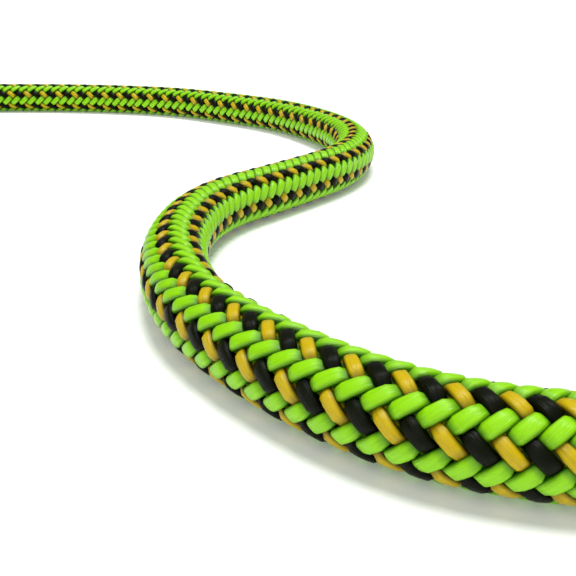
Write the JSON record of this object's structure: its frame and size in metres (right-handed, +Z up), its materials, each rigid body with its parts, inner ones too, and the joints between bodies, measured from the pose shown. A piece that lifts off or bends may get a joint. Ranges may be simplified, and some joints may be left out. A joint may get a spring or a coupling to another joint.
{
  "type": "dynamic climbing rope",
  "caption": "Kernmantle dynamic climbing rope, green sheath with black and gold chevrons, a free stretch snaking out of a tied storage coil.",
  "frame": {"origin": "bottom centre of the whole rope's bounding box, on the plane the rope lies on", "axes": "+Z up from the plane the rope lies on; the coil lies on the -X side and the free stretch snakes along the +X side"},
  "size_m": [0.4939, 0.3334, 0.0553],
  "materials": {
    "sheath_yarn": "satin braided polyamide, green with black and gold",
    "core_yarn": "matt plied white polyamide",
    "marker_yarn": "satin coloured yarn",
    "id_tape": "thin matt film",
    "fused_end": "heat-fused polyamide",
    "end_sleeve": "bare black shrink tube",
    "tie_webbing": "woven hook-and-loop tape"
  },
  "bodies": {
    "root": {"sheath": "sheath_yarn", "core_strand_01": "core_yarn", "core_strand_02": "core_yarn", "core_strand_03": "core_yarn", "core_strand_04": "core_yarn", "core_strand_05": "core_yarn", "core_strand_06": "core_yarn", "core_strand_07": "core_yarn", "core_strand_08": "core_yarn", "core_strand_09": "core_yarn", "core_strand_10": "core_yarn", "core_strand_11": "core_yarn", "core_strand_12": "core_yarn", "marker_yarn": "marker_yarn", "id_tape": "id_tape", "near_end_fused": "fused_end", "near_end_sleeve": "end_sleeve", "near_end_seal": "fused_end", "rope_coil": "sheath_yarn", "coil_end_fused": "fused_end", "coil_end_sleeve": "end_sleeve", "coil_end_seal": "fused_end", "tie_band_1": "tie_webbing", "tie_tab_1": "tie_webbing", "tie_band_2": "tie_webbing", "tie_tab_2": "tie_webbing", "tie_band_3": "tie_webbing", "tie_tab_3": "tie_webbing"}
  },
  "joints": []
}
